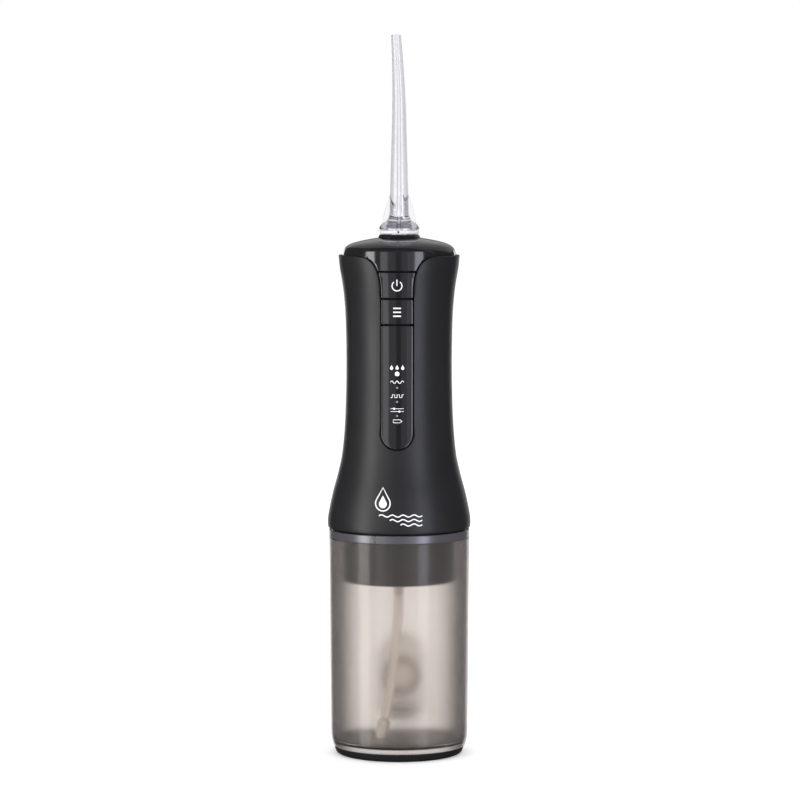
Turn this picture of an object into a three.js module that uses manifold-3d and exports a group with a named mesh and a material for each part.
// A cordless water flosser: a waisted grip over a pull-off water tank, with a push-in jet tip on top.
// Millimetres, +Z up. The origin is on the standing surface, on the axis of the body; the controls face -Y.
import * as THREE from "three";
import { mergeVertices } from "three/addons/utils/BufferGeometryUtils.js";
import Module from "manifold-3d";

const wasm = await Module();
wasm.setup();

// ---------- driving dimensions ----------
const GAP = 0.3; // between pieces that touch in use
const ROUND_STEPS = 36; // facets round the large turned pieces
const SMALL_STEPS = 12; // facets round the small ones

// Grip shell: radius against height, from the waist to both flared ends.
const SHELL_OUTLINE = [
  [91.0, 28.35], [93.2, 28.6], [97, 28.24], [105, 26.55], [113, 24.4], [121, 22.75],
  [133, 21.65], [147, 21.15], [161, 21.06], [175, 21.35], [184, 22.0], [190, 22.8],
  [195, 23.67], [199.8, 24.15],
];
const SHELL_WALL = 1.8;
const SHELL_BOTTOM = SHELL_OUTLINE[0][0];
const SHELL_TOP = SHELL_OUTLINE.at(-1)[0];
const LIP_INNER = 22.95; // bore of the shell round the cap
const CAP_SEAT = 195.5; // height of the step that the cap sits on

// The slot down the front of the shell, and what lies in it.
const SLOT_HALF = 6.7;
const SLOT_BOTTOM = 123.6;
const SLOT_MOUTH_HALF = 15.6; // where the slot flares out into the top edge
const SLOT_FLARE_FROM = 185.5;
// Handles of the flare's curve: up from its foot, and out along the top edge.
const SLOT_FLARE = { rise: 9, run: 2.6 };
const CONTROL_SET_BACK = 0.45; // the controls lie this far below the shell's surface
const CONTROL_THICK = 1.5;
const PANEL_TOP = 173.1;
const MODE_TOP = 183.4;
const POWER_TOP = 194.1;
const BUTTONS = [
  { name: "power", low: MODE_TOP, high: POWER_TOP },
  { name: "mode", low: PANEL_TOP, high: MODE_TOP },
];
const LIGHTS = { first: 153.9, pitch: 5.53, count: 4, radius: 0.9 };

// Cap, collar and jet tip.
const CAP_EDGE = 22.6;
const CAP_TOP = 206.9;
const TONGUE_FACE = 23.05;
const TONGUE_TOP = 202.3;
const COLLAR = { low: 205.6, mid: 206.8, high: 208.2, radius: 8.5 };
const RING = { low: 208.5, high: 209.8, radius: 8.0 };
const HUB = { low: 208.7, radius: 5.6 }; // the part of the tip that the ring sits round
const TIP = { base: 213.2, top: 287.2, baseRadius: 3.95, topRadius: 1.95, bore: 1.1, mouth: 0.5 };
const TIP_BEND_FROM = 255;
const TIP_LEAN = [-1.1, -3.6]; // how far the bend carries the mouth of the tip
const FIN = { reach: 6.7, thick: 0.9, top: 224.5, root: 3.7, pull: [[6.6, 216.2], [5.1, 219.4]] }; // pull: the two points that bend its edge
const STEM = { low: 193.5, radius: 3.1 };
const SOCKET = { low: 191.2, high: 205.0, inner: 3.75, outer: 5.3 };

// Tank and what closes it.
const TANK_TOP = 90.3;
const TANK_RADIUS = 28.1;
const TANK_WALL = 1.6;
const TANK_LOW_RADIUS = 27.5;
const TANK_DRAFT_FROM = 14; // the wall's draft starts here; below it the foot is rounded
const TANK_FOOT_DROP = 1.3; // how far the rounded foot draws in
const TANK_FLOOR = 4.8;
const COLLAR_BAND = { low: 87.1, high: 90.4, depth: 0.55 };
const PAD = { height: 2.8, radius: 26.1, foot: 24.1 };
const DOOR = { half: 9.8, low: 13.9, high: 43.7, thick: 1.3, pocket: 1.75 };
const DOOR_HINGE = {
  y: 26.0, z: 12.6, pin: 0.6, knuckle: 1.0, half: 4.4, trough: 2.4, frame: 1.7,
  bossHalf: 8, bossRadius: 4.0, relief: { from: 5, to: 10.1, radius: 1.5, rise: 0.9 },
};
const DOOR_LIP = { y: 27.5, below: 1.2, half: 3.2, radius: 0.7 }; // the edge that a fingertip lifts
const PIN_PLAY = 0.2; // clearance round a pin, on the radius
const PORT = { z: 27.1, radius: 8.8, plug: 8.35, hollow: 4.9, plugEnd: 22.4 };

// Pump housing that hangs into the tank, and the suction line under it.
const HOUSING = { low: 69.6, radius: 22.6, wall: 1.6, neck: 25.1, flange: 26.2, top: 94.5 };
const PUMP_Y = -7;
const STUB = { low: 64.4, radius: 1.85, bore: 1.0 };
const HOSE_RADIUS = 1.75;
const HOSE_ROUTE = [
  [0, -7, 64.1], [0, -7.1, 60], [-0.3, -7.3, 55], [-0.8, -7.7, 49], [-1.4, -8.4, 43],
  [-1.9, -9.3, 37.5], [-2.6, -10.4, 32], [-3.5, -11.7, 26], [-4.4, -13.0, 20.5], [-5.2, -14.0, 16.2],
];
const FILTER = { length: 8.4, radius: 2.5 };

// Drive: motor, face gear, crank and piston.
const MOTOR = { y: 7, low: 108, high: 132, radius: 10.2 };
const GEAR = { module: 0.7, pinionTeeth: 10, crownTeeth: 30, toothShare: 0.38 };
const CROWN = { z: 94.6, inner: 9.3, outer: 11.6, back: 0.9, plate: 1.6 };
const CRANK_RADIUS = 3;
const ROD = { length: 12, thick: 3, end: 2.6, eye: 1.75 };
const PISTON = { radius: 4.7, height: 6.4 };
const CYLINDER = { low: 71.5, high: 87.2, inner: 5.1, outer: 6.6, floor: 74.6 };
const OUTLET = { z: 75.3, start: 5.6, chamber: 8.4, end: 11.4, tip: 15.0 };
const HOSE_NOTCH = { x: 17.2, y: -6.2, radius: 2.5 }; // where the pressure hose passes the frame

// Electrics.
const BATTERY = { y: 9.5, radius: 7.1, low: 137.5, high: 187.5 };
const BOARD = { half: 10.2, back: -13.5, thick: 1.4, low: 129, high: 195 };
const CHARGE = { half: 6.0, low: 108.9, high: 116.3, thick: 1.4 };

// ---------- materials ----------
const finish = (color, roughness, metalness = 0, opacity = 1) =>
  new THREE.MeshStandardMaterial({
    color, roughness, metalness, opacity, transparent: opacity < 1,
  });
const MATTE_BLACK = finish(0x202022, 0.55);
const GLOSS_BLACK = finish(0x1c1c20, 0.12);
const GUNMETAL = finish(0x4a4a50, 0.35, 0.6);
const SMOKE = finish(0xcdbfb4, 0.3, 0, 0.55);
const CLEAR = finish(0xf4f6f8, 0.05, 0, 0.4);
const FROST = finish(0xe8e8ea, 0.4);
const BLACK_RUBBER = finish(0x121212, 0.8);
const PALE_RUBBER = finish(0xe6dccd, 0.6);
const NYLON = finish(0xe9e6dc, 0.5);
const FRAME_GREY = finish(0x6d7076, 0.6);
const STEEL = finish(0xb8babd, 0.3, 1);
const BRASS = finish(0xc2a14f, 0.35, 1);
const BOARD_GREEN = finish(0x1f6b3a, 0.5);
const CELL_BLUE = finish(0x2a62a8, 0.4);

// ---------- solids ----------
const { PI, cos, sin } = Math;
const TURN = 2 * PI;
const UP = new THREE.Vector3(0, 1, 0); // the axis that three's cylinders and lathes are made on

// A closed geometry as a solid, turned to face out if its profile ran the other way.
function solid(geometry) {
  const bare = geometry.index ? geometry.toNonIndexed() : geometry.clone();
  bare.deleteAttribute("normal");
  bare.deleteAttribute("uv");
  const merged = mergeVertices(bare, 1e-4);
  const make = (triVerts) =>
    new wasm.Manifold(
      new wasm.Mesh({ numProp: 3, vertProperties: merged.attributes.position.array, triVerts }),
    );
  const faces = new Uint32Array(merged.index.array);
  const made = make(faces);
  if (made.volume() >= 0) return made;
  for (let i = 0; i < faces.length; i += 3) [faces[i + 1], faces[i + 2]] = [faces[i + 2], faces[i + 1]];
  return make(faces);
}

function geometryOf(made) {
  const mesh = made.getMesh();
  const position = new Float32Array(mesh.numVert * 3);
  for (let i = 0; i < mesh.numVert; i++)
    position.set(mesh.vertProperties.subarray(i * mesh.numProp, i * mesh.numProp + 3), i * 3);
  return new THREE.BufferGeometry()
    .setAttribute("position", new THREE.BufferAttribute(position, 3))
    .setIndex(new THREE.BufferAttribute(mesh.triVerts, 1));
}

const join = (...pieces) => pieces.reduce((sum, piece) => sum.add(piece));
const cut = (piece, ...tools) => tools.reduce((left, tool) => left.subtract(tool), piece);

// A closed outline of [radius, height] points turned round the Z axis.
function turned(outline, steps = ROUND_STEPS) {
  const points = outline.map(([r, z]) => new THREE.Vector2(r, z));
  const [first, last] = [points[0], points.at(-1)];
  if (first.x > 0 || last.x > 0) points.push(first.clone());
  return solid(new THREE.LatheGeometry(points, steps).rotateX(PI / 2));
}

const disc = (radius, low, high, steps = SMALL_STEPS) =>
  turned([[0, low], [radius, low], [radius, high], [0, high]], steps);
const tube = (inner, outer, low, high, steps = SMALL_STEPS) =>
  turned([[inner, low], [outer, low], [outer, high], [inner, high]], steps);

function box(x0, x1, y0, y1, z0, z1) {
  const geometry = new THREE.BoxGeometry(x1 - x0, y1 - y0, z1 - z0);
  return solid(geometry.translate((x0 + x1) / 2, (y0 + y1) / 2, (z0 + z1) / 2));
}

// A rod between two points.
function rod(from, to, radius, steps = SMALL_STEPS) {
  const [a, b] = [new THREE.Vector3(...from), new THREE.Vector3(...to)];
  const along = b.clone().sub(a);
  const geometry = new THREE.CylinderGeometry(radius, radius, along.length(), steps);
  const turn = new THREE.Quaternion().setFromUnitVectors(UP, along.clone().normalize());
  return solid(geometry.applyQuaternion(turn).translate(...a.add(b).multiplyScalar(0.5).toArray()));
}

// A flat outline, drawn in x and z, pushed through from y0 to y1.
function prism(shape, y0, y1, curveSegments = 6) {
  const geometry = new THREE.ExtrudeGeometry(shape, { depth: y1 - y0, bevelEnabled: false, curveSegments });
  return solid(geometry.rotateX(PI / 2).translate(0, y1, 0));
}

// Rounds of varying radius along a smooth path, closed at both ends; sections are perpendicular to Z.
function tapered(stations, steps = 14) {
  const position = [];
  for (const { x, y, z, r } of stations)
    for (let i = 0; i < steps; i++)
      position.push(x + r * cos((i / steps) * TURN), y + r * sin((i / steps) * TURN), z);
  const index = [];
  for (let row = 0; row < stations.length - 1; row++)
    for (let i = 0; i < steps; i++) {
      const [a, b] = [row * steps + i, row * steps + ((i + 1) % steps)];
      index.push(a, b, b + steps, a, b + steps, a + steps);
    }
  const last = (stations.length - 1) * steps;
  for (let i = 1; i < steps - 1; i++) index.push(0, i + 1, i, last, last + i, last + i + 1);
  const geometry = new THREE.BufferGeometry();
  geometry.setAttribute("position", new THREE.Float32BufferAttribute(position, 3));
  return solid(geometry.setIndex(index));
}

// A hose of eight sides along a smooth route.
function hose(route, radius, steps) {
  const path = new THREE.CatmullRomCurve3(route.map((p) => new THREE.Vector3(...p)), false, "centripetal");
  const section = new THREE.Shape();
  for (let i = 0; i < 8; i++) {
    const [x, y] = [radius * cos((i / 8) * TURN), radius * sin((i / 8) * TURN)];
    if (i === 0) section.moveTo(x, y);
    else section.lineTo(x, y);
  }
  section.closePath();
  return solid(new THREE.ExtrudeGeometry(section, { steps, extrudePath: path, bevelEnabled: false }));
}

// ---------- outlines ----------
const shellCurve = new THREE.SplineCurve(SHELL_OUTLINE.map(([z, r]) => new THREE.Vector2(z, r)));
const shellRows = shellCurve.getPoints(12).map(({ x, y }) => [y, x]); // [radius, height]

// Radius of the shell at a height.
function shellRadius(z) {
  for (let i = 1; i < shellRows.length; i++) {
    const [[r0, z0], [r1, z1]] = [shellRows[i - 1], shellRows[i]];
    if (z <= z1) return r0 + ((r1 - r0) * (z - z0)) / (z1 - z0);
  }
  return shellRows.at(-1)[0];
}

// The band of material between two depths below the shell's surface, over a stretch of height.
function underShell(shallow, deep, low, high, rows = 12) {
  const heights = Array.from({ length: rows + 1 }, (_, i) => low + ((high - low) * i) / rows);
  const outer = heights.map((z) => [shellRadius(z) - shallow, z]);
  const inner = heights.map((z) => [shellRadius(z) - deep, z]).reverse();
  return turned([...outer, ...inner], ROUND_STEPS);
}

// The slot in front view: a round foot, straight sides, then a flare out into the shell's top edge.
function slotShape(shrink) {
  const half = SLOT_HALF - shrink;
  const mouth = SLOT_MOUTH_HALF - shrink;
  const foot = SLOT_BOTTOM + SLOT_HALF;
  const bend = SLOT_FLARE_FROM + SLOT_FLARE.rise;
  const run = half + SLOT_FLARE.run;
  const above = SHELL_TOP + 6;
  const shape = new THREE.Shape();
  shape.moveTo(half, foot);
  shape.absarc(0, foot, half, 0, -PI, true);
  shape.lineTo(-half, SLOT_FLARE_FROM);
  shape.bezierCurveTo(-half, bend, -run, SHELL_TOP, -mouth, SHELL_TOP);
  shape.lineTo(-mouth, above);
  shape.lineTo(mouth, above);
  shape.lineTo(mouth, SHELL_TOP);
  shape.bezierCurveTo(run, SHELL_TOP, half, bend, half, SLOT_FLARE_FROM);
  shape.closePath();
  return shape;
}

// What lies in the slot between two heights, clear of its sides by the gap.
const inSlot = (low, high) =>
  prism(slotShape(GAP), -40, -10).intersect(box(-30, 30, -45, -5, low, high));

// An arch-topped panel in front view.
function archShape(half, low, high) {
  const shape = new THREE.Shape();
  shape.moveTo(-half, low);
  shape.lineTo(half, low);
  shape.lineTo(half, high - half);
  shape.absarc(0, high - half, half, 0, PI, false);
  shape.closePath();
  return shape;
}

function roundedRectangle(half, low, high, corner) {
  const shape = new THREE.Shape();
  shape.absarc(half - corner, low + corner, corner, -PI / 2, 0, false);
  shape.absarc(half - corner, high - corner, corner, 0, PI / 2, false);
  shape.absarc(-half + corner, high - corner, corner, PI / 2, PI, false);
  shape.absarc(-half + corner, low + corner, corner, PI, (3 * PI) / 2, false);
  shape.closePath();
  return shape;
}

// Outside radius of the tank at a height: a slight draft, then a rounded foot.
function tankRadius(z) {
  const draft = (TANK_RADIUS - TANK_LOW_RADIUS) / (TANK_TOP - TANK_DRAFT_FROM);
  if (z >= TANK_DRAFT_FROM) return TANK_LOW_RADIUS + draft * (z - TANK_DRAFT_FROM);
  const t = (TANK_DRAFT_FROM - z) / (TANK_DRAFT_FROM - PAD.height);
  return TANK_LOW_RADIUS - TANK_FOOT_DROP * t ** 4;
}
const tankRows = (low, high, rows, inset) =>
  Array.from({ length: rows + 1 }, (_, i) => {
    const z = low + ((high - low) * i) / rows;
    return [tankRadius(z) - inset, z];
  });

const model = new THREE.Group();
const add = (name, made, material) => {
  const mesh = new THREE.Mesh(geometryOf(made), material.clone());
  mesh.name = name;
  model.add(mesh);
};

// ---------- grip shell, cap and controls ----------
const chargeOpening = (grow, y0, y1) =>
  prism(roundedRectangle(CHARGE.half + grow, CHARGE.low - grow, CHARGE.high + grow, 2.2), y0, y1);

function gripShell() {
  const bore = shellRows.filter(([, z]) => z < CAP_SEAT).map(([r, z]) => [r - SHELL_WALL, z]);
  const lip = [[LIP_INNER, CAP_SEAT + 1], [LIP_INNER, SHELL_TOP]];
  const body = turned([...shellRows, ...[...bore, ...lip].reverse()]);
  return cut(
    body,
    prism(slotShape(0), -40, 0),
    chargeOpening(0.35, 10, 40),
  );
}

function topCap() {
  const dome = [
    [21.9, 196.0], [CAP_EDGE, 197.2], [CAP_EDGE, 200.6], [22.35, 201.9], [21.7, 203.0], [20.6, 203.9],
    [18.6, 204.8], [15.6, 205.6], [12.0, 206.3], [9.2, CAP_TOP - 0.15],
  ];
  const well = [
    [9.2, COLLAR.low - GAP], [6.0, COLLAR.low - GAP], [6.0, 203.2], [9.6, 202.9], [15, 202.4], [19.4, 201.2],
    [20.6, 199.4], [20.6, 196.0],
  ];
  const tongue = inSlot(POWER_TOP + 0.2, TONGUE_TOP).intersect(
    tube(20.7, TONGUE_FACE, POWER_TOP, TONGUE_TOP + 1, ROUND_STEPS),
  );
  return join(turned([...dome, ...well]), tongue);
}

// A button is a piece of the slot's outline that follows the shell's curve, with a stem behind it.
function button({ low, high }) {
  const deep = CONTROL_SET_BACK + CONTROL_THICK;
  const face = inSlot(low + 0.2, high - 0.2).intersect(underShell(CONTROL_SET_BACK, deep, low, high, 6));
  const middle = (low + high) / 2;
  const back = shellRadius(middle) - deep;
  return join(face, rod([0, -back - 0.4, middle], [0, BOARD.back - BOARD.thick - 2.9, middle], 1.4));
}

// A tact switch: a square can with its round plunger, on the front of the circuit board.
function tactSwitch({ low, high }) {
  const middle = (low + high) / 2;
  const front = BOARD.back - BOARD.thick;
  return join(
    box(-2.3, 2.3, front - 1.6, front - 0.05, middle - 2.3, middle + 2.3),
    rod([0, front - 1.5, middle], [0, front - 2.1, middle], 1.1, 12),
  );
}

const lightHeights = Array.from({ length: LIGHTS.count }, (_, i) => LIGHTS.first - i * LIGHTS.pitch);

function displayPanel() {
  const deep = CONTROL_SET_BACK + CONTROL_THICK;
  const face = inSlot(SLOT_BOTTOM, PANEL_TOP - 0.2).intersect(
    underShell(CONTROL_SET_BACK, deep, SLOT_BOTTOM, PANEL_TOP, 12),
  );
  const holes = lightHeights.map((z) => rod([0, -30, z], [0, -10, z], LIGHTS.radius + 0.2, 12));
  return cut(face, ...holes);
}

// One clear strip behind the panel, with a pin up into each of its holes.
function lightGuide() {
  const back = shellRadius(150) - CONTROL_SET_BACK - CONTROL_THICK;
  const strip = box(-1.5, 1.5, -back + 0.4, -back + 1.6, lightHeights.at(-1) - 2.5, LIGHTS.first + 2.5);
  const pins = lightHeights.map((z) =>
    rod([0, -back + 0.6, z], [0, -shellRadius(z) + CONTROL_SET_BACK + 0.1, z], LIGHTS.radius, 12),
  );
  return join(strip, ...pins);
}

function chargeCover() {
  const deep = CHARGE.thick + 0.15;
  return chargeOpening(0, 0, 40).intersect(underShell(0.15, deep, CHARGE.low - 1, CHARGE.high + 1, 6));
}

function chargeSocket() {
  const middle = (CHARGE.low + CHARGE.high) / 2;
  const body = prism(roundedRectangle(4.5, middle - 1.65, middle + 1.65, 1.6), 17.6, 21.9, 3);
  const mouth = prism(roundedRectangle(4.1, middle - 1.25, middle + 1.25, 1.2), 18.6, 23, 3);
  return join(cut(body, mouth), box(-3.2, 3.2, 18.2, 21, middle - 0.35, middle + 0.35));
}

// ---------- jet tip ----------
// How far the axis of the tip has bent away at a height.
function tipBend(z) {
  const t = Math.max(0, (z - TIP_BEND_FROM) / (TIP.top - TIP_BEND_FROM));
  return TIP_LEAN.map((reach) => reach * t ** 1.7);
}

function tipStations(low, high, rows, radiusLow, radiusHigh) {
  return Array.from({ length: rows + 1 }, (_, i) => {
    const t = i / rows;
    const z = low + (high - low) * t;
    const [x, y] = tipBend(z);
    return { x, y, z, r: radiusLow + (radiusHigh - radiusLow) * t };
  });
}

function jetTip() {
  const spout = tapered(tipStations(TIP.base, TIP.top, 7, TIP.baseRadius, TIP.topRadius));
  const skirt = turned([
    [0, HUB.low], [HUB.radius, HUB.low], [HUB.radius, RING.high + GAP],
    [RING.radius, RING.high + GAP], [RING.radius - 0.05, RING.high + 1.1], [7.0, 212.3], [5.2, TIP.base + 0.6], [0, TIP.base + 0.6],
  ], 24);
  const stem = turned([
    [0, STEM.low], [2.6, STEM.low], [STEM.radius, STEM.low + 0.6], [STEM.radius, 197.0], [2.45, 197.2],
    [2.45, 198.6], [STEM.radius, 198.8], [STEM.radius, COLLAR.high], [4.2, COLLAR.high + GAP],
    [4.2, HUB.low + 0.2], [0, HUB.low + 0.2],
  ], 20);
  const finShape = new THREE.Shape();
  finShape.moveTo(0, TIP.base - 0.5);
  finShape.lineTo(FIN.reach, TIP.base - 0.5);
  finShape.bezierCurveTo(...FIN.pull[0], ...FIN.pull[1], FIN.root, FIN.top);
  finShape.lineTo(0, FIN.top);
  finShape.closePath();
  const fins = [0, 1, 2, 3].map((quarter) => {
    const fin = new THREE.ExtrudeGeometry(finShape, { depth: FIN.thick, bevelEnabled: false, curveSegments: 8 });
    return solid(fin.translate(0, 0, -FIN.thick / 2).rotateX(PI / 2).rotateZ((quarter * PI) / 2));
  });
  const bore = tapered([
    { x: 0, y: 0, z: STEM.low - 1, r: TIP.bore },
    ...tipStations(TIP.base, TIP.top + 0.5, 7, TIP.bore, TIP.mouth),
  ], 8);
  return cut(join(spout, skirt, stem, ...fins), bore);
}

const tipRing = () =>
  turned([
    [5.9, RING.low], [RING.radius - 0.2, RING.low], [RING.radius, RING.low + 0.3],
    [RING.radius, RING.high - 0.3], [RING.radius - 0.25, RING.high], [5.9, RING.high],
  ], 24);

const tipCollar = () =>
  turned([
    [4.7, COLLAR.low], [7.4, COLLAR.low], [7.75, COLLAR.mid - 0.35], [7.75, COLLAR.mid],
    [COLLAR.radius, COLLAR.mid + 0.1], [7.7, COLLAR.high], [4.7, COLLAR.high],
  ], 24);

const tipSocket = () =>
  turned([
    [0.9, SOCKET.low - 4.5], [2.0, SOCKET.low - 4.5], [2.0, SOCKET.low - 3.6], [1.6, SOCKET.low - 3.0],
    [1.6, SOCKET.low], [SOCKET.outer, SOCKET.low], [SOCKET.outer, SOCKET.high], [SOCKET.inner, SOCKET.high],
    [SOCKET.inner, SOCKET.low + 1.5], [0.9, SOCKET.low + 1.5],
  ], 20);

// A ring of round section.
function sealRing(radius, section, z, steps = ROUND_STEPS) {
  const outline = Array.from({ length: 5 }, (_, i) => {
    const angle = ((i + 0.5) / 5) * TURN;
    return [radius + section * cos(angle), z + section * sin(angle)];
  });
  return turned(outline, steps);
}

// ---------- tank, fill door and base ----------
const doorRing = (shallow, deep, low, high) =>
  turned([...tankRows(low, high, 2, shallow), ...tankRows(low, high, 2, deep).reverse()]);

// A rod along the pin of the fill door.
const hingeRod = (x0, x1, radius) =>
  rod([x0, DOOR_HINGE.y, DOOR_HINGE.z], [x1, DOOR_HINGE.y, DOOR_HINGE.z], radius);
const BAND_INNER = tankRadius(COLLAR_BAND.low + 0.9) - COLLAR_BAND.depth;

function tank() {
  const outside = [...tankRows(PAD.height + GAP, TANK_DRAFT_FROM, 5, 0), [TANK_RADIUS, TANK_TOP]];
  const inside = tankRows(TANK_FLOOR + 3, TANK_TOP, 1, TANK_WALL).reverse();
  const floor = [[22.8, TANK_FLOOR + 0.6], [20.5, TANK_FLOOR], [0, TANK_FLOOR]];
  const vessel = turned([[0, PAD.height + GAP], ...outside, ...inside, ...floor]);
  const { frame, bossRadius, bossHalf, trough, half, pin, relief } = DOOR_HINGE;
  const backing = prism(archShape(DOOR.half + frame, DOOR.low - 4.9, DOOR.high + frame), 12, 40).intersect(
    doorRing(1.0, DOOR.pocket + 1.5, DOOR.low - 5.4, DOOR.high + 3),
  );
  const hingeBoss = hingeRod(-bossHalf, bossHalf, bossRadius).intersect(
    turned([[0, 4], ...tankRows(4, 20, 5, 0.8), [0, 20]]),
  );
  const pocket = prism(archShape(DOOR.half + GAP, DOOR.low - GAP, DOOR.high + GAP), 12, 40).intersect(
    doorRing(-3, DOOR.pocket, DOOR.low - 6, DOOR.high + 4),
  );
  const reliefs = [-1, 1].map((side) =>
    hingeRod(side * relief.from, side * relief.to, relief.radius).translate([0, 0, relief.rise]),
  );
  const pinHole = hingeRod(-half - 2.8, half + 2.8, pin + PIN_PLAY);
  const port = rod([0, 15, PORT.z], [0, 40, PORT.z], PORT.radius, 28);
  const bandSeat = tube(
    BAND_INNER - GAP, TANK_RADIUS + 2, COLLAR_BAND.low - 0.1, TANK_TOP + 1, ROUND_STEPS,
  );
  const hollows = [pocket, hingeRod(-half - 0.8, half + 0.8, trough), ...reliefs, pinHole, port, bandSeat];
  return cut(join(vessel, backing, hingeBoss), ...hollows);
}

const tankBand = () =>
  turned([
    [BAND_INNER, COLLAR_BAND.low + 0.15],
    [TANK_RADIUS + 0.05, COLLAR_BAND.low + 0.15],
    [TANK_RADIUS + 0.05, COLLAR_BAND.high - 0.4],
    [TANK_RADIUS - 0.35, COLLAR_BAND.high],
    [BAND_INNER, COLLAR_BAND.high],
  ]);

const basePad = () =>
  turned([
    [0, 0], [PAD.foot, 0], [PAD.foot + 1, 0.4], [PAD.foot + 1.6, 1.2], [PAD.radius, PAD.height],
    [0, PAD.height],
  ]);

function fillDoor() {
  const leaf = prism(archShape(DOOR.half, DOOR.low, DOOR.high), 12, 40).intersect(
    doorRing(0.1, 0.1 + DOOR.thick, DOOR.low - 1, DOOR.high + 1),
  );
  const { y, z, knuckle, half, pin } = DOOR_HINGE;
  const barrel = hingeRod(-half, half, knuckle);
  const web = box(-half, half, y - 0.1, y + 1.3, z + 0.2, DOOR.low + 0.8);
  const lipEnd = (x) => [x, DOOR_LIP.y, DOOR.high - DOOR_LIP.below];
  const lip = rod(lipEnd(-DOOR_LIP.half), lipEnd(DOOR_LIP.half), DOOR_LIP.radius, 10);
  return cut(join(leaf, barrel, web, lip), hingeRod(-2 * half, 2 * half, pin + PIN_PLAY));
}

// A hollow stopper on the inside of the door.
function fillPlug() {
  const inner = tankRadius(PORT.z) - 0.1 - DOOR.thick - GAP;
  const collarFace = turned([[0, 15], ...tankRows(15, 45, 1, 0.1 + DOOR.thick + GAP), [0, 45]]);
  const body = join(
    rod([0, PORT.plugEnd + 0.8, PORT.z], [0, 30, PORT.z], PORT.plug, 28),
    tapered([
      { x: 0, y: 0, z: 0, r: PORT.plug - 0.35 }, { x: 0, y: 0, z: 0.85, r: PORT.plug },
    ], 28).rotate([-90, 0, 0]).translate([0, PORT.plugEnd, PORT.z]),
  );
  const hollow = rod([0, PORT.plugEnd - 1, PORT.z], [0, inner - 1.2, PORT.z], PORT.hollow, 20);
  return cut(body.intersect(collarFace), hollow);
}

// ---------- pump housing and suction line ----------
function pumpHousing() {
  const { low, radius, wall, neck, flange, top } = HOUSING;
  const cup = turned([
    [0, low], [radius - 0.8, low], [radius, low + 0.8], [radius, 87.0], [neck, 87.6],
    [neck, SHELL_BOTTOM - 0.1],
    [flange, SHELL_BOTTOM + 0.4], [flange, top], [radius - wall, top], [radius - wall, low + wall],
    [0, low + wall],
  ]);
  const inlet = rod([0, PUMP_Y, low - 1], [0, PUMP_Y, low + 3], STUB.radius + GAP, 16);
  return cut(cup, inlet, ...screwPlaces.map(([x, y]) => rod([x, y, 92], [x, y, 96], 1.15, 12)));
}

// A nipple that is pressed up into the floor of the housing.
const suctionStub = () =>
  turned([
    [STUB.bore, STUB.low], [STUB.radius - 0.3, STUB.low], [STUB.radius, STUB.low + 0.8],
    [STUB.radius, HOUSING.low + HOUSING.wall - 0.2], [STUB.bore, HOUSING.low + HOUSING.wall - 0.2],
  ], SMALL_STEPS).translate([0, PUMP_Y, 0]);

// The strainer carries on from the end of the hose in the hose's own direction.
function suctionFilter() {
  const [before, end] = HOSE_ROUTE.slice(-2).map((p) => new THREE.Vector3(...p));
  const along = end.clone().sub(before).normalize();
  const outline = [
    [0, 0], [1.6, 0], [FILTER.radius, 1.2], [FILTER.radius, FILTER.length - 2.6],
    [1.5, FILTER.length], [0, FILTER.length],
  ];
  const weight = new THREE.LatheGeometry(outline.map(([r, s]) => new THREE.Vector2(r, s)), 16);
  const turn = new THREE.Quaternion().setFromUnitVectors(UP, along);
  return solid(weight.applyQuaternion(turn).translate(...end.addScaledVector(along, GAP).toArray()));
}

// ---------- frame and drive ----------
const screwPlaces = [45, 135, 225, 315].map((degrees) => {
  const angle = (degrees * PI) / 180;
  return [23.6 * cos(angle), 23.6 * sin(angle)];
});

function innerFrame() {
  const ring = cut(
    tube(17, 25.4, HOUSING.top + GAP, HOUSING.top + 2, 28),
    ...screwPlaces.map(([x, y]) => rod([x, y, 94], [x, y, 98], 1.4, 12)),
  );
  const plate = cut(
    box(-15.5, 15.5, -10.5, 17, 106.8, 107.7),
    rod([0, MOTOR.y, 106], [0, MOTOR.y, 109], 3.6),
  );
  const bearing = cut(
    join(box(-5, 5, 5.4, 12, 90.5, 99), box(-8, 8, 11.8, 14.6, 90.5, 107.2)),
    rod([0, 0, CROWN.z], [0, 15, CROWN.z], 1.8),
  );
  const sides = [-1, 1].flatMap((side) => {
    const [near, far] = side < 0 ? [-1, 1] : [1, -1];
    const span = (a, b) => (near < far ? [side * b, side * a] : [side * a, side * b]);
    const block = (a, b, ...rest) => box(...span(a, b), ...rest);
    return [
      block(13.5, 15.5, 11.5, 14.6, 96, 107.2),
      block(13.5, 15.5, -10.5, -8.2, 96, 107.2),
      block(11.9, 13.9, -2.5, 6, 107.5, 189.6),
      block(8, 12.5, -2.5, -0.5, 131, 133.5),
      block(8, 12.5, -2.5, -0.5, 182, 184.5),
      block(8, 10, BOARD.back + GAP, -1, 131, 133.5),
      block(8, 10, BOARD.back + GAP, -1, 182, 184.5),
    ];
  });
  const shelves = [
    box(-13.5, 13.5, 2.5, 12, 135.7, 137.0),
    box(-13.5, 13.5, 3, 12, 188.2, 189.6),
  ];
  const { x, y, radius } = HOSE_NOTCH;
  return cut(join(ring, plate, bearing, ...sides, ...shelves), disc(radius, 90, 110).translate([x, y, 0]));
}

function screw([x, y]) {
  const head = turned([[0, 96.8], [2.1, 96.8], [2.1, 97.6], [1.4, 98.3], [0, 98.3]], 10);
  return join(head, disc(0.95, 92.4, 97, 10)).translate([x, y, 0]);
}

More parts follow.
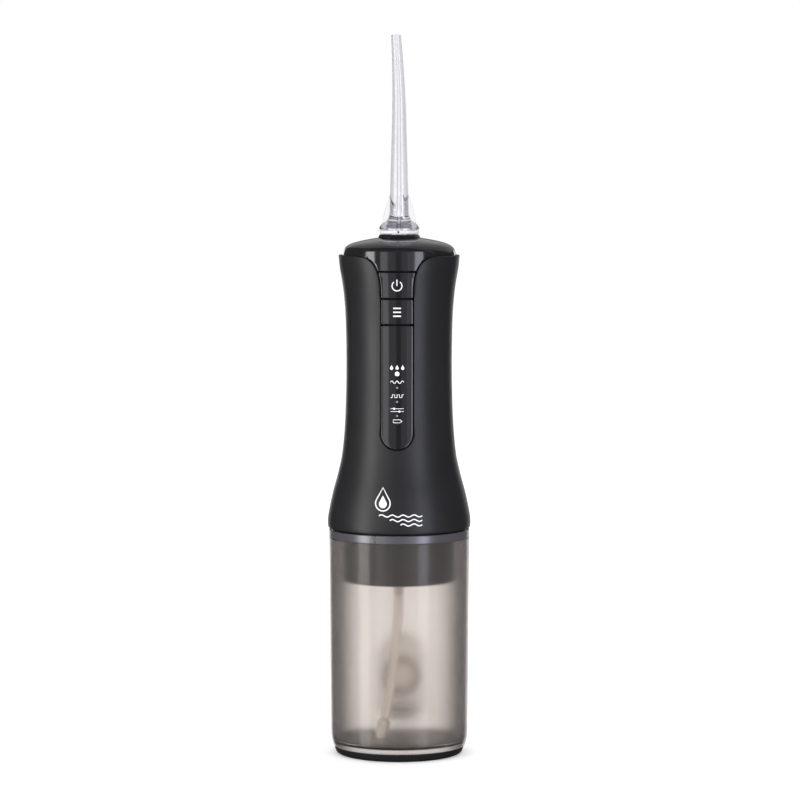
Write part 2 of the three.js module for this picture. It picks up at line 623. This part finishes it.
const motorCan = () =>
  turned([
    [0, MOTOR.low], [MOTOR.radius - 0.8, MOTOR.low], [MOTOR.radius, MOTOR.low + 0.8],
    [MOTOR.radius, MOTOR.high],
    [1.6, MOTOR.high], [1.6, MOTOR.low + 1.5], [0, MOTOR.low + 1.5],
  ], 32).translate([0, MOTOR.y, 0]);

const motorEndCap = () =>
  turned([
    [0, MOTOR.high + GAP], [9.4, MOTOR.high + GAP], [9.4, MOTOR.high + 1.6], [4, MOTOR.high + 2],
    [3, MOTOR.high + 3.1], [0, MOTOR.high + 3.1],
  ], 32).translate([0, MOTOR.y, 0]);

const PINION_PITCH = (GEAR.module * GEAR.pinionTeeth) / 2;
const CROWN_PITCH = (GEAR.module * GEAR.crownTeeth) / 2;
const TOOTH = PI * GEAR.module * GEAR.toothShare; // thickness on the pitch line
const FACE_Y = MOTOR.y - PINION_PITCH; // the pitch plane of the face gear

// The motor's pinion with its shaft; a gap between two teeth faces the crown gear.
function drivePinion() {
  const [tip, root] = [PINION_PITCH + 0.6, PINION_PITCH - 0.85];
  const shape = new THREE.Shape();
  for (let i = 0; i < GEAR.pinionTeeth; i++) {
    const middle = ((i + 0.5) / GEAR.pinionTeeth) * TURN - PI / 2;
    const corners = [
      [root, -0.62 * TOOTH], [tip, -0.26 * TOOTH], [tip, 0.26 * TOOTH], [root, 0.62 * TOOTH],
    ];
    for (const [radius, offset] of corners) {
      const angle = middle + offset / radius;
      const point = [radius * cos(angle), radius * sin(angle)];
      if (i === 0 && offset === corners[0][1]) shape.moveTo(...point);
      else shape.lineTo(...point);
    }
  }
  shape.closePath();
  const low = CROWN.z + CROWN.inner - 0.3;
  const depth = CROWN.outer - CROWN.inner + 0.9;
  const teeth = solid(new THREE.ExtrudeGeometry(shape, { depth, bevelEnabled: false }).translate(0, 0, low));
  return join(teeth, disc(1.1, low + 0.1, MOTOR.low - GAP, 14)).translate([0, MOTOR.y, 0]);
}

// A face gear on the Y axis: a plate with a ring of teeth towards the pinion and the crank pin on its back.
function crownGear() {
  const toothTop = FACE_Y + 0.6;
  const root = FACE_Y - 0.95;
  const plate = cut(
    join(
      rod([0, root - CROWN.plate, 0], [0, root + 0.02, 0], CROWN.outer, 30),
      rod([0, root - CROWN.plate, 0], [0, FACE_Y + 0.9, 0], 3.2),
    ),
    rod([0, -5, 0], [0, 9, 0], 1.8),
  );
  const teeth = Array.from({ length: GEAR.crownTeeth }, (_, i) => {
    const section = new THREE.Shape();
    section.moveTo(-0.72 * TOOTH, root - 0.2);
    section.lineTo(0.72 * TOOTH, root - 0.2);
    section.lineTo(0.28 * TOOTH, toothTop);
    section.lineTo(-0.28 * TOOTH, toothTop);
    section.closePath();
    const depth = CROWN.outer - CROWN.inner;
    const tooth = new THREE.ExtrudeGeometry(section, { depth, bevelEnabled: false });
    return solid(tooth.translate(0, 0, CROWN.inner)).rotate([0, (i * 360) / GEAR.crownTeeth, 0]);
  });
  const crankEnd = PUMP_Y + ROD.thick / 2 + 0.4;
  const crank = rod([0, root - CROWN.plate + 0.1, -CRANK_RADIUS], [0, crankEnd, -CRANK_RADIUS], 1.4);
  return join(plate, ...teeth, crank).translate([0, 0, CROWN.z]);
}

const crankZ = CROWN.z - CRANK_RADIUS; // the crank rests at the foot of its stroke
const wristZ = crankZ - ROD.length;
const pistonLow = wristZ - 3.3;

function connectingRod() {
  const [near, far] = [PUMP_Y - ROD.thick / 2, PUMP_Y + ROD.thick / 2];
  const eye = (z, radius) => rod([0, near, z], [0, far, z], radius);
  return cut(
    join(eye(wristZ, ROD.end), eye(crankZ, ROD.end + 0.4), box(-1.3, 1.3, near, far, wristZ, crankZ)),
    rod([0, -20, wristZ], [0, 5, wristZ], 1.2),
    rod([0, -20, crankZ], [0, 5, crankZ], ROD.eye),
  );
}

const wristPin = () => rod([0, PUMP_Y - 3.9, wristZ], [0, PUMP_Y + 3.9, wristZ], 0.9, 14);

// The piston is slotted across its top for the rod, and grooved for its seal.
function piston() {
  const { radius, height } = PISTON;
  const body = turned([
    [0, pistonLow], [radius, pistonLow], [radius, pistonLow + 0.8], [radius - 0.9, pistonLow + 1.0],
    [radius - 0.9, pistonLow + 2.2], [radius, pistonLow + 2.4], [radius, pistonLow + height],
    [0, pistonLow + height],
  ], 28).translate([0, PUMP_Y, 0]);
  return cut(
    body,
    box(-6, 6, PUMP_Y - ROD.thick / 2 - GAP, PUMP_Y + ROD.thick / 2 + GAP, wristZ - ROD.end - 0.4, 100),
    rod([0, PUMP_Y - 6, wristZ], [0, PUMP_Y + 6, wristZ], 1.2, 14),
  );
}

function pumpCylinder() {
  const { low, high, inner, outer, floor } = CYLINDER;
  const barrel = turned([
    [1.2, low], [outer, low], [outer, high], [inner, high], [inner, floor], [2.9, floor],
    [2.9, low + 1.1], [1.2, low + 1.1],
  ], 24).translate([0, PUMP_Y, 0]);
  const { z, start, chamber, end, tip } = OUTLET;
  const spigot = join(
    rod([start, PUMP_Y, z], [end + 1.2, PUMP_Y, z], 3.1), rod([end, PUMP_Y, z], [tip, PUMP_Y, z], 1.7),
  );
  return cut(
    join(barrel, cut(spigot, rod([0, PUMP_Y, z], [inner + 0.4, PUMP_Y, z], 4))),
    rod([0, PUMP_Y, z], [chamber + 0.1, PUMP_Y, z], 0.75, 12),
    rod([chamber, PUMP_Y, z], [end, PUMP_Y, z], 2.3),
    rod([end - 0.1, PUMP_Y, z], [tip + 1, PUMP_Y, z], 0.9, 12),
  );
}

const inletValve = () => disc(2.4, CYLINDER.low + 1.4, CYLINDER.low + 2.1).translate([0, PUMP_Y, 0]);
const outletValve = () =>
  rod([OUTLET.chamber + 0.3, PUMP_Y, OUTLET.z], [OUTLET.chamber + 1.0, PUMP_Y, OUTLET.z], 1.9);

// The pressure line from the pump's spigot up one side to the socket of the jet tip.
function pressureHose() {
  const route = [
    [OUTLET.tip + GAP, PUMP_Y, OUTLET.z], [16.1, PUMP_Y, OUTLET.z + 0.05], [17.2, -6.9, OUTLET.z + 1.4],
    [17.5, -6.7, OUTLET.z + 4], [17.3, -6.3, 86], [HOSE_NOTCH.x, HOSE_NOTCH.y, 95],
    [HOSE_NOTCH.x, HOSE_NOTCH.y, 107.5], [15.4, -5.7, 124], [14.0, -5.4, 140], [14.0, -5.4, 160],
    [12.6, -5.0, 171], [7, -2.9, 176.5], [1.6, -0.8, 179.5], [0, 0, 183.5], [0, 0, SOCKET.low - 4.9],
  ];
  return hose(route, 1.9, 36);
}

// ---------- the assembly ----------
add("grip_shell", gripShell(), MATTE_BLACK);
add("top_cap", topCap(), GLOSS_BLACK);
add("display_panel", displayPanel(), GLOSS_BLACK);
add("light_guide", lightGuide(), FROST);
for (const each of BUTTONS) {
  add(`${each.name}_button`, button(each), GLOSS_BLACK);
  add(`${each.name}_switch`, tactSwitch(each), STEEL);
}
add("circuit_board", box(
  -BOARD.half, BOARD.half, BOARD.back - BOARD.thick, BOARD.back, BOARD.low, BOARD.high,
), BOARD_GREEN);
add("charge_cover", chargeCover(), BLACK_RUBBER);
add("charge_socket", chargeSocket(), STEEL);
add("battery_cell", cut(
  disc(BATTERY.radius, BATTERY.low, BATTERY.high, 32), tube(2.6, 9, BATTERY.high - 1, BATTERY.high + 1, 32),
).translate([0, BATTERY.y, 0]), CELL_BLUE);

add("nozzle", jetTip(), CLEAR);
add("nozzle_ring", tipRing(), FROST);
add("nozzle_collar", tipCollar(), GLOSS_BLACK);
add("nozzle_socket", tipSocket(), NYLON);
add("nozzle_seal", sealRing(3.05, 0.5, 197.9, SMALL_STEPS), BLACK_RUBBER);

add("tank", tank(), SMOKE);
add("tank_collar", tankBand(), GUNMETAL);
add("base_pad", basePad(), BLACK_RUBBER);
add("fill_door", fillDoor(), SMOKE);
add("fill_plug", fillPlug(), PALE_RUBBER);
add("fill_hinge_pin", hingeRod(-6.9, 6.9, DOOR_HINGE.pin), STEEL);

add("pump_housing", pumpHousing(), MATTE_BLACK);
add("housing_seal", sealRing(25.8, 0.4, 89.3), BLACK_RUBBER);
add("suction_stub", suctionStub(), NYLON);
add("suction_hose", hose(HOSE_ROUTE, HOSE_RADIUS, 26), PALE_RUBBER);
add("suction_filter", suctionFilter(), NYLON);

add("inner_frame", innerFrame(), FRAME_GREY);
screwPlaces.forEach((place, i) => add(`frame_screw_${i + 1}`, screw(place), STEEL));
add("motor_can", motorCan(), STEEL);
add("motor_end_cap", motorEndCap(), NYLON);
add("drive_pinion", drivePinion(), BRASS);
add("crown_gear", crownGear(), NYLON);
add("gear_axle", rod([0, -0.6, CROWN.z], [0, 11.4, CROWN.z], 1.5), STEEL);
add("connecting_rod", connectingRod(), NYLON);
add("wrist_pin", wristPin(), STEEL);
add("piston", piston(), NYLON);
add("piston_seal", sealRing(4.4, 0.45, pistonLow + 1.6, 24).translate([0, PUMP_Y, 0]), BLACK_RUBBER);
add("pump_cylinder", pumpCylinder(), NYLON);
add("inlet_valve", inletValve(), BLACK_RUBBER);
add("outlet_valve", outletValve(), BLACK_RUBBER);
add("pressure_hose", pressureHose(), PALE_RUBBER);

export default model;
